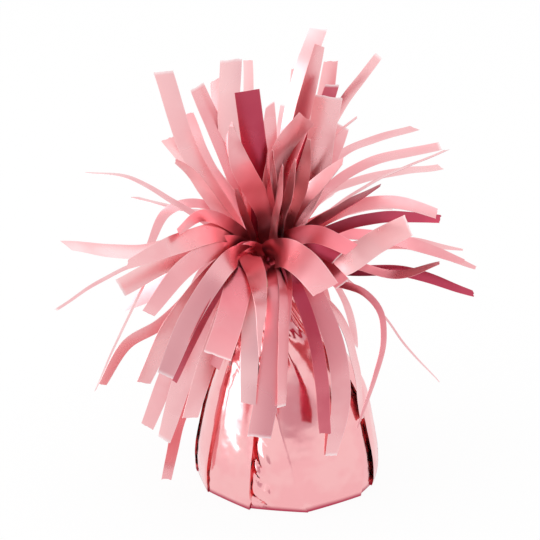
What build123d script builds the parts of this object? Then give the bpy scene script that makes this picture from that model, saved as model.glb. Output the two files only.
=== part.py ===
"""Foil-fringe balloon weight: a filled bell cup wrapped in three sheets of metallised film.

Each sheet goes round the cup as a pleated tube, is tucked flat under the base, gathered at the neck
by an elastic band, and slit above the neck into strips that spray out on all sides.
Millimetres, +Z up, origin at the centre of the underside, front towards -Y.
"""
from build123d import *
from math import atan2, cos, hypot, pi, radians, sin
import os

# Film sheets
FILM = 0.3                  # drawn thickness of one layer
FILM_GAP = 0.1              # room between two layers
SHEETS = ("outer", "middle", "inner")

# Wrapped body
BODY_RADIUS = 30.0          # over the folds, at the widest
BODY_HEIGHT = 66.0          # underside to the start of the neck
FOLD_DEPTH = 2.0            # step of the deepest pleat
FOLD_TURN = 5.0             # degrees that each pleat laps round
NECK_RADIUS = 6.4           # outside of the gathered neck
NECK_LENGTH = 8.0
NECK_LEAN = -5.4            # the neck stands left of the base

# Bell profile: share of the height, share of the way from neck to body radius, share of fold depth
BELL = (
    (0.0, 0.92, 0.4), (0.09, 1.0, 0.5), (0.3, 0.92, 0.8), (0.52, 0.75, 1.0),
    (0.67, 0.54, 1.0), (0.77, 0.35, 0.8), (0.92, 0.14, 0.5), (1.0, 0.0, 0.0),
)
LEAN_START = 0.45           # share of the height where the body begins to lean
FOLDS = (0, 32, 68, 106, 144, 180, 205, 246, 283, 321)   # pleats round the base, degrees from +X

# Cup, its plug and its filling
CUP_WALL = 1.2
CUP_CLEARANCE = 0.3         # between the cup and the innermost film
CUP_SHOULDER = 0.5          # share of the body height where the crown starts
CUP_TOP = 0.7               # share of the body height at the top of the crown
CUP_LIP = 1.6               # height of the ease inside the mouth
CUP_LIP_EASE = 0.4          # how far the mouth opens out there
PLUG_FLANGE = 1.2           # thickness under the cup's rim
PLUG_SPIGOT = 3.0           # length inside the cup
PLUG_RECESS = 0.5           # depth of the dish underneath
PLUG_RIM = 4.0              # width of the foot round the dish
PLUG_CLEARANCE = 0.15
FILL_CLEARANCE = 0.1

# Elastic band round the neck
BAND_HEIGHT = 3.6
BAND_THICKNESS = 1.3
BAND_ROUNDING = 0.4
BAND_CLEARANCE = 0.05

# Strips
STRIP_WIDTH = 7.0
ROOT_SHARE = 0.75           # share of the neck's pitch that a gathered root takes up
FLARE_START = 7.0           # length along the strip where it begins to open out
FLARE_END = {"inner": 26.0, "middle": 22.0, "outer": 20.0}
ROOT_BEND = {"inner": 6.0, "middle": 4.0, "outer": 3.0}
TIP_SKEW = 14.0             # degrees off square of the most skewed end
TIP_SKEW_STEP = 2.4         # radians by which the skew runs on from one strip to the next
BODY_STATIONS = (0.15, 0.32, 0.55, 0.78, 1)     # shares of the bowed length that shape a strip
CLIMB_ROUNDS = 40           # repeats that settle a strip's climb
TRACED_REACH = {"middle": 0.8, "outer": 0.55}   # power by which the depth of a traced strip grows
TRACED_STATIONS = (0, 0.05, 0.12, 0.22, 0.36, 0.52, 0.7, 0.86, 1)    # shares of the length that shape it
SIDES = ("right", "back", "left", "front")
TIERS = {"inner": "crown", "middle": "spread", "outer": "skirt"}

# Line of sight of the photograph, from the top of the neck
VIEW_DROP = 3.0             # the picture's middle lies this far below the top of the neck
VIEW_DISTANCE = 700.0
VIEW_ELEVATION = 22.0
VIEW_FOCUS = 2220.0         # focal length in pixels
VIEW_MIDDLE = 270.0         # pixel at the picture's middle

# Strips in order round the neck from +X towards +Y. A strip that bows in one plane has its tip, right of,
# behind and above the neck top, then the bow over its length and the roll at its tip in degrees.
# A strip that curls both ways is traced: how far its tip lies behind the neck, how it is turned at its
# root and at its tip (degrees, 0 shows its face and 90 its edge), then the pixels of the photograph
# that its middle line passes through.
STRIPS = {
    "inner": (
        (28, 3, 48, 5, 40), (21, 4, 59, 5, 40), (15, 8, 71, 5, -15), (23, 27, 36, 8, 20),
        (16, 20, 72, 4, 10), (20, 32, 56, 5, -35), (17, 56, 21, 8, 15), (10, 44, 50, 6, 40),
        (7, 42, 30, 8, 10), (4, 61, 31, 5, -30), (0, 44, 39, 8, 20), (-6, 46, 54, 6, -30),
        (-10, 31, 57, 5, 0), (-20, 36, 46, 5, 20), (-29, 36, 33, 8, 0), (-24, 30, 46, 6, -20),
        (-33, 26, 32, 8, -15), (-27, 12, 44, 4, 10), (-34, 5, 62, 8, -10), (-30, -17, 42, 35, 30),
        (-20, -32, 42, 30, 25), (-7, -17, 65, 15, 10), (-12, -30, 59, 10, -20), (-6, -42, 47, 15, 30),
        (-1, -32, 54, 10, 30), (4, -48, 41, 20, -25), (8, -39, 50, 10, -40), (13, -32, 55, 10, 40),
        (11, -22, 57, 12, -30), (25, -18, 41, 10, 35), (19, -10, 61, 6, 10), (34, -4, 72, 5, 45),
    ),
    "middle": (
        (-13, 50, 50, (322, 234), (380, 217), (441, 219)),
        (-10, 55, 30, (330, 236), (400, 241), (464, 262)),
        (18, 80, 82, (322, 217), (375, 182), (447, 150)),
        (30, 60, 60, (318, 199), (360, 167), (441, 146)),
        (54, 42, 15, 15, 50), (45, 43, 30, 15, 45), (40, 44, 2, 30, 15), (30, 52, 8, 30, -20),
        (20, 58, 2, 30, 10), (8, 62, 8, 30, 20), (-5, 60, 2, 30, -15), (-18, 58, 8, 30, 15),
        (-27, 53, 0, 30, -20),
        (44, -80, -80, (214, 214), (180, 208), (135, 197)),
        (34, -60, 0, (230, 215), (193, 203), (167, 212), (149, 247)),
        (18, -65, -84, (215, 228), (170, 200), (130, 178), (84, 173)),
        (-15, -50, -52, (200, 238), (141, 251), (66, 245)),
        (-34, -15, -10, (220, 245), (177, 258), (120, 288)),
        (-42, -15, -10, (225, 232), (180, 243), (127, 265)),
        (-33, -40, 10, (235, 228), (200, 216), (178, 232)),
        (-37, -45, 0, 50, 10), (-18, -52, -11, 70, 5), (-12, -44, -20, 60, 15), (-3, -45, -14, 60, -30),
        (15, -43, 7, 105, -10), (21, -41, 4, 60, -25), (29, -41, 16, 40, 20), (33, -38, 22, 45, 25),
        (-24, 65, 75, (306, 230), (340, 208), (381, 185)),
        (-28, 5, 0, (306, 264), (337, 266), (378, 241), (409, 225)),
        (-22, 60, 40, (318, 256), (360, 266), (395, 275), (440, 263)),
        (-18, 55, 50, (318, 224), (362, 205), (405, 204), (437, 214)),
    ),
    "outer": (
        (-10, 80, 80, (340, 275), (388, 321), (405, 345), (440, 382)),
        (1, 60, 40, (340, 250), (410, 245), (476, 268)),
        (8, 75, 78, (340, 262), (400, 274), (470, 295)),
        (18, 60, 50, (340, 246), (400, 240), (463, 250)),
        (28, 24, -40, 60, 10), (20, 40, -42, 50, -15), (12, 44, -36, 60, 15), (2, 46, -44, 50, -10),
        (-8, 45, -38, 60, 15), (-18, 42, -45, 50, -10), (-28, 38, -40, 60, 10), (-36, 30, -45, 50, -15),
        (24, -40, -20, (215, 245), (175, 265), (142, 296)),
        (13, -30, -20, (215, 250), (165, 285), (121, 308)),
        (2, 75, 80, (225, 250), (150, 275), (137, 299), (95, 391)),
        (-13, -75, -78, (215, 254), (125, 268), (55, 310)),
        (-7, 0, 0, (235, 275), (180, 350), (147, 427)),
        (-19, 50, 60, (222, 267), (160, 325), (127, 345), (103, 385)),
        (-14, 50, 50, (236, 284), (195, 380), (181, 415), (166, 480)),
        (-20, 30, 0, (232, 282), (190, 360), (164, 440)),
        (-40, -38, -26, 50, -25), (-35, -48, -18, 40, -15), (-30, -46, -24, 24, 30), (-25, -45, -37, 40, -15),
        (-8, -40, -32, 60, 10), (-3, -41, -43, 50, -5), (4, -45, -30, 60, 25), (16, -34, -45, 40, -10),
        (-25, 0, 0, (318, 302), (336, 350), (341, 400), (331, 456)),
        (-26, 50, 70, (330, 280), (365, 293), (381, 313), (384, 338), (375, 378), (357, 428)),
        (-14, 60, 70, (312, 286), (340, 320), (355, 365), (362, 420)),
        (-16, 50, 45, (335, 268), (408, 272), (474, 294)),
    ),
}

VIEW_WAY = Vector(0, cos(radians(VIEW_ELEVATION)), -sin(radians(VIEW_ELEVATION)))
VIEW_UP = Vector(0, sin(radians(VIEW_ELEVATION)), cos(radians(VIEW_ELEVATION)))
VIEW_PLACE = Vector(0, 0, -VIEW_DROP) - VIEW_WAY * VIEW_DISTANCE
NECK_TOP = BODY_HEIGHT + NECK_LENGTH
LINING = len(SHEETS) * FILM + (len(SHEETS) - 1) * FILM_GAP    # all the layers of film together
CUP_FOOT = len(SHEETS) * FILM + PLUG_FLANGE
STANDING = (Align.CENTER, Align.CENTER, Align.MIN)
WIDEST_FLAT = max((b - a) % 360 for a, b in zip(FOLDS, FOLDS[1:] + FOLDS[:1]))


def bell(height, column):
    """A column of the bell profile at a height, straight between its rows."""
    share = min(max(height / BODY_HEIGHT, 0), 1)
    for low, high in zip(BELL, BELL[1:]):
        if share <= high[0]:
            part = (share - low[0]) / (high[0] - low[0])
            return low[column] + (high[column] - low[column]) * part


def lean(height):
    """How far the middle of the body stands off the base's axis at a height."""
    share = min(max((height / BODY_HEIGHT - LEAN_START) / (1 - LEAN_START), 0), 1)
    return NECK_LEAN * share * share * (3 - 2 * share)


def body_radius(height):
    return NECK_RADIUS + (BODY_RADIUS - NECK_RADIUS) * bell(height, 1)


def film_outline(height, inset):
    """Pleated outline of a layer: each fold is a corner and a step in, and they even out at the neck."""
    even = min(max((height / BODY_HEIGHT - CUP_TOP) / (1 - CUP_TOP), 0), 1)
    outside = body_radius(height) - inset
    inside = outside - FOLD_DEPTH * bell(height, 2)
    corners = []
    for index, fold in enumerate(FOLDS):
        even_angle = 360 * index / len(FOLDS)
        half_pitch = 180 / len(FOLDS)
        lap = FOLD_TURN + (half_pitch - FOLD_TURN) * even
        crest = fold + (even_angle - fold) * even
        corners += [(outside, crest), (inside, crest + lap)]
    middle = lean(height)
    points = [(middle + r * cos(radians(a)), r * sin(radians(a)), height) for r, a in corners]
    return make_face(Polyline(*points, close=True))


def film_block(bottom, inset, top):
    """Everything inside one surface of a layer, from its floor to the top of the neck."""
    heights = [bottom] + [row[0] * BODY_HEIGHT for row in BELL[1:]] + [top]
    return loft([film_outline(height, inset) for height in heights], ruled=True)


def wrapped_sheet(layer):
    """One sheet: pleated wall, flat tucked floor, plain open neck."""
    inset = layer * (FILM + FILM_GAP)
    floor = layer * FILM
    return film_block(floor, inset, NECK_TOP) - film_block(floor + FILM, inset + FILM, NECK_TOP + FILM)


def cup_radius(height):
    """Largest round that clears the innermost film at a height, where its flats and pleats come closest."""
    flat = body_radius(height) * cos(radians(WIDEST_FLAT / 2))
    return flat - FOLD_DEPTH * bell(height, 2) - LINING - abs(lean(height)) - CUP_CLEARANCE


def bell_of_revolution(foot, inset):
    """The cup's form, taken in by an inset: bowed wall up to the shoulder, rounded crown, flat top."""
    shoulder = CUP_SHOULDER * BODY_HEIGHT
    top = CUP_TOP * BODY_HEIGHT
    half_way = (foot + shoulder) / 2
    crown_half = (shoulder + top) / 2
    wall = ThreePointArc(
        (cup_radius(foot) - inset, foot),
        (cup_radius(half_way) - inset, half_way),
        (cup_radius(shoulder) - inset, shoulder),
    )
    crown = ThreePointArc(
        wall @ 1,
        (cup_radius(crown_half) - inset, crown_half - inset / 2),
        (cup_radius(top) - inset / 2, top - inset),
    )
    ends = Polyline(crown @ 1, (0, top - inset), (0, foot), wall @ 0)
    return revolve(Plane.XZ * make_face([wall, crown, ends]), Axis.Z)


def weight_cup():
    """Moulded bell cup, open below, with its mouth eased for the plug."""
    cup = bell_of_revolution(CUP_FOOT, 0) - bell_of_revolution(CUP_FOOT, CUP_WALL)
    mouth = cup_radius(CUP_FOOT) - CUP_WALL
    return cup - Pos(0, 0, CUP_FOOT) * Cone(mouth + CUP_LIP_EASE, mouth, CUP_LIP, align=STANDING)


def base_plug():
    """Push-in disc that closes the cup: flange under the rim, spigot inside it, shallow dish below."""
    foot = len(SHEETS) * FILM
    flange = Pos(0, 0, foot) * Cylinder(cup_radius(CUP_FOOT), PLUG_FLANGE, align=STANDING)
    top = CUP_FOOT + PLUG_SPIGOT
    mouth = min(cup_radius(CUP_FOOT), cup_radius(top)) - CUP_WALL - PLUG_CLEARANCE
    spigot = Pos(0, 0, CUP_FOOT) * Cylinder(mouth, PLUG_SPIGOT, align=STANDING)
    dish = Pos(0, 0, foot) * Cylinder(cup_radius(CUP_FOOT) - PLUG_RIM, PLUG_RECESS, align=STANDING)
    return flange + spigot - dish


def sand_fill():
    """Set filling, moulded by the inside of the cup and standing on the plug."""
    below = Cylinder(BODY_RADIUS, CUP_FOOT + PLUG_SPIGOT, align=STANDING)
    return bell_of_revolution(CUP_FOOT, CUP_WALL + FILL_CLEARANCE) - below


def neck_band():
    """Elastic band, rounded in section, drawn round the gathered neck."""
    inside = NECK_RADIUS + BAND_CLEARANCE
    section = Pos(inside + BAND_THICKNESS / 2, BODY_HEIGHT + NECK_LENGTH / 2) * RectangleRounded(
        BAND_THICKNESS, BAND_HEIGHT, BAND_ROUNDING
    )
    return Pos(NECK_LEAN, 0, 0) * revolve(Plane.XZ * section, Axis.Z)


def climb_to(out, up, bow, bend):
    """Angle above level at which a strip leaves its root bend, so that its bowed length ends at the tip."""
    climb = atan2(up, out) + bow / 2
    for _ in range(CLIMB_ROUNDS):
        climb = atan2(up - bend * cos(climb), out - bend * (1 - sin(climb))) + bow / 2
    return climb


def bowed_strip(sheet, slot, row):
    """One strip: gathered root on the neck, a root bend, then a bowed body that opens out and rolls."""
    right, back, up, bow, roll = row
    bend = ROOT_BEND[sheet]
    ring = NECK_RADIUS - SHEETS.index(sheet) * (FILM + FILM_GAP) - FILM / 2
    slots = len(STRIPS[sheet])
    slot_angle = 2 * pi * slot / slots
    root_width = ROOT_SHARE * 2 * pi * ring / slots
    root = Vector(ring * cos(slot_angle), ring * sin(slot_angle), 0)
    away = Vector(right, back, 0) - root
    bow = radians(bow)
    climb = climb_to(away.length, up, bow, bend)
    heading = atan2(away.Y, away.X)
    turn = (heading - slot_angle + pi) % (2 * pi) - pi
    root_length = bend * (pi / 2 - climb)
    start_out = bend * (1 - sin(climb))
    start_up = bend * cos(climb)
    chord = hypot(away.length - start_out, up - start_up)
    radius = chord / 2 / sin(bow / 2)
    body_length = radius * bow
    length = root_length + body_length
    stations = [0, root_length / 2, root_length]
    stations += [root_length + body_length * share for share in BODY_STATIONS]
    sections = []
    for along in stations:
        if along <= root_length:
            pitch = pi / 2 - along / bend
            out = bend * (1 - sin(pitch))
            rise = bend * cos(pitch)
            facing = slot_angle + turn * along / root_length
        else:
            pitch = climb - (along - root_length) / radius
            out = start_out + radius * (sin(climb) - sin(pitch))
            rise = start_up + radius * (cos(pitch) - cos(climb))
            facing = heading
        flare = min(max((along - FLARE_START) / (FLARE_END[sheet] - FLARE_START), 0), 1)
        width = root_width + (STRIP_WIDTH - root_width) * flare
        tangent = Vector(cos(heading) * cos(pitch), sin(heading) * cos(pitch), sin(pitch))
        across = Vector(-sin(facing), cos(facing), 0)
        upper = tangent.cross(across)
        turned = radians(roll) * flare * along / length
        across = across * cos(turned) + upper * sin(turned)
        if along == length:
            skew = radians(TIP_SKEW * sin(slot * TIP_SKEW_STEP))
            width = width / cos(skew)
            across = across * cos(skew) + tangent * sin(skew)
        place = root + Vector(cos(heading), sin(heading), 0) * out + Vector(NECK_LEAN, 0, NECK_TOP + rise)
        normal = across.cross(upper)
        sections.append(Plane(place, x_dir=across, z_dir=normal) * Rectangle(width, FILM))
    return loft(sections[::-1], ruled=True)


def sighted(pixel, back):
    """Point on the line of sight through a pixel, at a depth behind the neck, from the top of the neck."""
    side = (pixel[0] - VIEW_MIDDLE) / VIEW_FOCUS
    lift = (VIEW_MIDDLE - pixel[1]) / VIEW_FOCUS
    ray = VIEW_WAY + Vector(side, 0, 0) + VIEW_UP * lift
    return VIEW_PLACE + ray * ((back - VIEW_PLACE.Y) / ray.Y)


def smooth_line(knots, run):
    """Place and direction on a smooth line through knots, at a distance measured knot to knot.

    The line leaves its root upright. Each span is a cubic between its ends and their slopes, and a slope
    leans to the shorter span beside it.
    """
    spans = [after - before for before, after in zip(knots, knots[1:])]
    slopes = [Vector(0, 0, 1)]
    for before, after in zip(spans, spans[1:]):
        slopes.append((before.normalized() * after.length + after.normalized() * before.length)
                      / (before.length + after.length))
    slopes.append(spans[-1].normalized())
    index = 0
    while index < len(spans) - 1 and run > spans[index].length:
        run -= spans[index].length
        index += 1
    size = spans[index].length
    t = min(run / size, 1)
    place = knots[index] + spans[index] * (t * t * (3 - 2 * t)) + slopes[index] * (size * t * (1 - t) ** 2)
    place += slopes[index + 1] * (size * t * t * (t - 1))
    slope = spans[index] * (6 * t * (1 - t) / size) + slopes[index] * ((1 - t) * (1 - 3 * t))
    return place, (slope + slopes[index + 1] * (t * (3 * t - 2))).normalized()


def traced_strip(sheet, slot, row):
    """One strip on a smooth line from its root to a traced tip, along which it opens out and turns."""
    back, first, last, *way = row
    ring = NECK_RADIUS - SHEETS.index(sheet) * (FILM + FILM_GAP) - FILM / 2
    slots = len(STRIPS[sheet])
    slot_angle = 2 * pi * slot / slots
    root_width = ROOT_SHARE * 2 * pi * ring / slots
    root = Vector(ring * cos(slot_angle), ring * sin(slot_angle), 0)
    passed = []
    for number, pixel in enumerate(way, start=1):
        part = (number / len(way)) ** TRACED_REACH[sheet]
        passed.append(sighted(pixel, root.Y + (back - root.Y) * part))
    bend = ROOT_BEND[sheet]
    away = Vector(passed[0].X - root.X, passed[0].Y - root.Y, 0)
    climb = climb_to(away.length, passed[0].Z, 0, bend)
    bent = []
    for pitch in ((pi / 2 + climb) / 2, climb):
        out = away.normalized() * bend * (1 - sin(pitch))
        bent.append(root + out + Vector(0, 0, bend * cos(pitch)))
    knots = [root, *bent, *passed]
    length = sum((after - before).length for before, after in zip(knots, knots[1:]))
    gathered = Vector(-sin(slot_angle), cos(slot_angle), 0)
    sections = []
    for share in reversed(TRACED_STATIONS):
        place, tangent = smooth_line(knots, share * length)
        flare = min(max((share * length - FLARE_START) / (FLARE_END[sheet] - FLARE_START), 0), 1)
        beside = tangent.cross(VIEW_WAY).normalized()
        turned = radians(first + (last - first) * share)
        shown = beside * cos(turned) + beside.cross(tangent) * sin(turned)
        if share == 1:
            side = 1 if shown.dot(gathered) > 0 else -1
        across = gathered * (1 - flare) + shown * side * flare
        across = (across - tangent * across.dot(tangent)).normalized()
        upper = tangent.cross(across)
        width = root_width + (STRIP_WIDTH - root_width) * flare
        if share == 1:
            skew = radians(TIP_SKEW * sin(slot * TIP_SKEW_STEP))
            width = width / cos(skew)
            across = across * cos(skew) + tangent * sin(skew)
        place += Vector(NECK_LEAN, 0, NECK_TOP)
        sections.append(Plane(place, x_dir=across, z_dir=across.cross(upper)) * Rectangle(width, FILM))
    return loft(sections, ruled=True)


def fringe(sheet):
    """The strips of one sheet, gathered into the four sides of the neck."""
    per_side = len(STRIPS[sheet]) // len(SIDES)
    sides = {side: [] for side in SIDES}
    for slot, row in enumerate(STRIPS[sheet]):
        side = SIDES[(slot + per_side // 2) // per_side % len(SIDES)]
        make = traced_strip if isinstance(row[-1], tuple) else bowed_strip
        sides[side].append(make(sheet, slot, row))
    return sides


nodes = {
    "weight_cup": weight_cup(),
    "sand_fill": sand_fill(),
    "base_plug": base_plug(),
    "neck_band": neck_band(),
}
for layer, sheet in enumerate(SHEETS):
    nodes[f"{sheet}_wrap"] = wrapped_sheet(layer)
    for side, strips in fringe(sheet).items():
        nodes[f"{TIERS[sheet]}_strips_{side}"] = Compound(children=strips)

os.makedirs("parts", exist_ok=True)
for name, piece in nodes.items():
    export_step(piece, f"parts/{name}.step")
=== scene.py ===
"""Foil-fringe balloon weight: a filled cup wrapped in three sheets of rose metallised film.

An elastic band gathers the sheets at the neck, and above it they are slit into strips that spray out.
Metres, in the frame of the solids: +Z up, origin under the base, front towards -Y.
"""

import bpy
import numpy as np
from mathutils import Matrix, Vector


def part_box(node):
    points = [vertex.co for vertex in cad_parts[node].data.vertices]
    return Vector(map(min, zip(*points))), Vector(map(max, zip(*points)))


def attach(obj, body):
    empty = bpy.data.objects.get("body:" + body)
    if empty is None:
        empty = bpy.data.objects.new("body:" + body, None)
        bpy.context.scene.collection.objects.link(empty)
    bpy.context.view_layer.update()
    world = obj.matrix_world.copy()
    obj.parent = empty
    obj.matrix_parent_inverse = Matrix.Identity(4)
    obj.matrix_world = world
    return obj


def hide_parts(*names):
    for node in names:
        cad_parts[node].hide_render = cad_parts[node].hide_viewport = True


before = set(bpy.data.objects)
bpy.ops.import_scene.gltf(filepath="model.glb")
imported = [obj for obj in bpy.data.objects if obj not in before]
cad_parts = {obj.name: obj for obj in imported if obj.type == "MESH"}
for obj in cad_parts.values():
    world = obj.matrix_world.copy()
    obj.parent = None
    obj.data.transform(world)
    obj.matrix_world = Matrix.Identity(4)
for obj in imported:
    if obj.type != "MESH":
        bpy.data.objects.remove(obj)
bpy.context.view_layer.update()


# The cup: a thin bell moulded in white polystyrene, open below. Its skin is slightly cloudy, with the
# fine orange-peel of a cheap mould.
MM = 0.001


class Wire:
    """A node's output in a shader tree: sums, differences and products of wires add Math nodes."""

    def __init__(self, tree, socket=None):
        self.tree = tree
        self.socket = socket

    def node(self, kind, settings=None, sockets=None, output=0):
        """Adds any node: its settings first, then the values or wires of its sockets."""
        made = self.tree.nodes.new("ShaderNode" + kind)
        for name, value in (settings or {}).items():
            setattr(made, name, value)
        for name, value in (sockets or {}).items():
            if isinstance(value, Wire):
                self.tree.links.new(value.socket, made.inputs[name])
            else:
                made.inputs[name].default_value = value
        return Wire(self.tree, made.outputs[output] if made.outputs else None)

    def math(self, operation, first, second):
        """A Math node on two wires or numbers."""
        return self.node("Math", {"operation": operation}, {0: first, 1: second})

    def __add__(self, other):
        return self.math("ADD", self, other)

    def __sub__(self, other):
        return self.math("SUBTRACT", self, other)

    def __mul__(self, other):
        return self.math("MULTIPLY", self, other)

    def __rsub__(self, other):
        return self.math("SUBTRACT", other, self)

    __radd__ = __add__
    __rmul__ = __mul__

    def between(self, low, high):
        """0 below low, 1 above high, eased in between."""
        return self.node("MapRange", {"interpolation_type": "SMOOTHSTEP"}, {0: self, 1: low, 2: high})

    def blend(self, first, second):
        """The first colour where the wire is 0 and the second where it is 1."""
        sockets = {"Factor": self, "A": first, "B": second}
        return self.node("Mix", {"data_type": "RGBA"}, sockets, output=2)


def start_finish(name):
    """A new material with an empty tree, and a wire to its tree."""
    finish = bpy.data.materials.new(name)
    finish.use_nodes = True
    finish.node_tree.nodes.clear()
    return finish, Wire(finish.node_tree)


def close_finish(tree, **sockets):
    """Principled surface with the given sockets, wired to the material's output."""
    named = {name.replace("_", " ").title(): value for name, value in sockets.items()}
    skin = tree.node("BsdfPrincipled", {}, named)
    tree.node("OutputMaterial", {}, {"Surface": skin})


def grain(tree, size, detail=3.0):
    """Noise with features of a given size, on the piece's own coordinates."""
    place = tree.node("TexCoord", output="Object")
    return tree.node("TexNoise", {}, {"Vector": place, "Scale": 1 / size, "Detail": detail})


def dimples(tree, size, strength, depth, detail=3.0):
    """A Bump node on noise with features of a given size and depth."""
    height = grain(tree, size, detail)
    return tree.node("Bump", {}, {"Height": height, "Strength": strength, "Distance": depth})


def dress(node, finish):
    """Gives a solid its finish."""
    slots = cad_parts[node].data.materials
    slots.clear()
    slots.append(finish)


CUP_CLOUDY = (0.80, 0.80, 0.78, 1)
CUP_WHITE = (0.87, 0.87, 0.85, 1)
cup_plastic, tree = start_finish("cup_plastic")
cloud = grain(tree, 12 * MM).between(0.35, 0.65)
close_finish(
    tree,
    base_color=cloud.blend(CUP_CLOUDY, CUP_WHITE),
    roughness=0.38 + 0.12 * cloud,
    normal=dimples(tree, 0.6 * MM, strength=0.2, depth=0.05 * MM),
)
dress("weight_cup", cup_plastic)


# The filling: sand and cement, poured into the cup wet and set hard, so it has the cup's inner shape.
# Grey-brown, with pale and dark grains and small air pits.
DARK_GRAIN = (0.36, 0.32, 0.27, 1)
PALE_GRAIN = (0.66, 0.61, 0.54, 1)
sand_grey, tree = start_finish("sand_grey")
speck = grain(tree, 0.7 * MM, detail=1.0).between(0.38, 0.62)
close_finish(
    tree,
    base_color=speck.blend(DARK_GRAIN, PALE_GRAIN),
    roughness=0.85 + 0.1 * speck,
    normal=dimples(tree, 0.9 * MM, strength=0.7, depth=0.2 * MM),
)
dress("sand_fill", sand_grey)


# The plug: a push-in disc of the cup's plastic that keeps the filling in, with a shallow dish below.
# Its face is scuffed, because the weight slides on it before it is wrapped.
PLUG_WHITE = (0.84, 0.84, 0.82, 1)
PLUG_SCUFFED = (0.70, 0.69, 0.67, 1)
plug_plastic, tree = start_finish("plug_plastic")
scuff = grain(tree, 3 * MM, detail=6.0).between(0.45, 0.7)
close_finish(
    tree,
    base_color=scuff.blend(PLUG_WHITE, PLUG_SCUFFED),
    roughness=0.4 + 0.25 * scuff,
    normal=dimples(tree, 0.5 * MM, strength=0.25, depth=0.05 * MM),
)
dress("base_plug", plug_plastic)


# The wraps: three sheets of film rolled round the cup, tucked flat under it and drawn in to the neck.
# Each is knife-pleated, with edges that lap over the next panel, and crumpled at the tuck and the neck.
# The film is polyester, metallised and tinted rose, and mirror-bright where it is stretched flat.
WRAPS = ("outer_wrap", "middle_wrap", "inner_wrap")
FILM = 0.09 * MM
LAYER_PITCH = 0.4 * MM
FLOOR_PITCH = 0.3 * MM
wrap_low, wrap_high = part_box("outer_wrap")
band_low, band_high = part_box("neck_band")
BODY_RADIUS = (wrap_high.x - wrap_low.x) / 2
NECK_TOP = wrap_high.z
NECK_LENGTH = 8 * MM
NECK_RADIUS = 6.4 * MM
NECK_LEAN = (band_low.x + band_high.x) / 2
BODY_HEIGHT = NECK_TOP - NECK_LENGTH
LEAN_START = 0.45

# Bell profile: share of the height, share of the way from neck to body radius, share of pleat depth
BELL = np.array([
    (0.0, 0.97, 0.5), (0.03, 0.99, 0.6), (0.09, 1.0, 0.7), (0.3, 0.92, 0.9), (0.52, 0.77, 1.0),
    (0.67, 0.57, 1.0), (0.77, 0.38, 0.8), (0.92, 0.14, 0.5), (1.0, 0.0, 0.15), (1.13, 0.0, 0.15),
])
# Pleats round the base: degrees from +X, drift by mid height, step in millimetres, degrees lapped under.
# A step below zero laps the other way.
PLEATS = np.array([
    (-5, 4, 1.2, 3), (32, 2, 1.5, 4), (68, -5, 1.2, 3), (106, 4, 1.6, 4), (144, -4, 1.3, 4),
    (180, 3, 0.7, 2), (210, 2, 1.0, 2), (246, 1, 2.4, 5), (283, -20, 0.7, 6), (324, 5, 1.7, 4),
    (340, -6, -1.3, 4),
])
FOLD_COLUMNS = 4
WRAP_COLUMNS = 300
LEAST_COLUMNS = 8
FLOOR_ROWS = 10
WALL_ROWS = 110
WALL_CROWDING = 1.1
POLE_SHARE = 0.002

# Heights on the wrap, as shares of the body's height
RIM_END = 0.02
LAP_END = 0.04
TUCK_END = 0.22
FLAT_END = 0.3
DRIFT_END = 0.5
EVEN_START = 0.6
GATHER_START = 0.5
GATHER_FULL = 0.8
PRESS_START = 0.85
SMOOTH_START = 0.9
SMOOTH_SPAN = 0.1
FOLDS_START = 0.1
LEAN_SPAN = 0.5
SEAT_END = 0.05

# How flat a panel is between its crests, and how the film stands out from its panels
FLAT_AT_RIM = 0.85
FLAT_ABOVE = 0.2
RUN_OUT = 0.8
FOLD_FILM = 0.3
GATHERS_PER_PANEL = 2.6
GATHER_DEPTH = 1.1 * MM
GATHER_PRESSED = 0.7
CRUMPLE_DEPTH = 0.4 * MM
ROUGH = 0.06
ROUGH_AT_TUCK = 0.2
ROUGH_IN_GATHERS = 0.28
ROUGH_PRESSED = 0.6
DENT_DEPTH = 1.36 * MM
DENT_ANGLE = 254
DENT_SPREAD = 8
DENT_HEIGHT = 0.13
DENT_TALL = 0.18
FOLD_DEPTH = 0.05 * MM
LIT_FOLD_DEPTH = 0.11 * MM
LIT_LEAN = 2.4 * MM
LIT_ANGLE = 229
LIT_SPREAD = 14
TUCK_DEPTH = 0.48 * MM
FOLD_ANGLE = 50


def eased(share):
    """0 below 0, 1 above 1, and 3 s^2 - 2 s^3 between."""
    share = np.clip(share, 0, 1)
    return share * share * (3 - 2 * share)


def curve(share, table, column):
    """A column of a table as a smooth curve: cubic pieces with mean slopes at the table's rows."""
    places, values = table[:, 0], table[:, column]
    slopes = np.gradient(values, places)
    row = np.clip(np.searchsorted(places, share) - 1, 0, len(places) - 2)
    span = places[row + 1] - places[row]
    part = (share - places[row]) / span
    rise = 3 * part**2 - 2 * part**3
    swing = span * (slopes[row] * part * (1 - part) ** 2 - slopes[row + 1] * part**2 * (1 - part))
    return values[row] * (1 - rise) + values[row + 1] * rise + swing


def ripples(x, y, seed, waves=14, low=0.6, high=2.2):
    """Seeded sum of plane waves in random directions, about -1 to 1, for arrays x and y in wavelengths."""
    rng = np.random.default_rng(seed)
    turn = rng.uniform(0, np.pi, waves)
    rate = 2 * np.pi * rng.uniform(low, high, waves)
    start = rng.uniform(0, 2 * np.pi, waves)
    path = np.multiply.outer(x, rate * np.cos(turn)) + np.multiply.outer(y, rate * np.sin(turn))
    return np.cos(path + start).sum(-1) / np.sqrt(waves)


def creased(x, y, seed):
    """Crumpled film: the folded size of two sets of ripples, so that ridges are sharp and hollows round."""
    return np.abs(ripples(x, y, seed)) + 0.5 * np.abs(ripples(2.1 * x, 2.1 * y, seed + 1)) - 0.8


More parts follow.
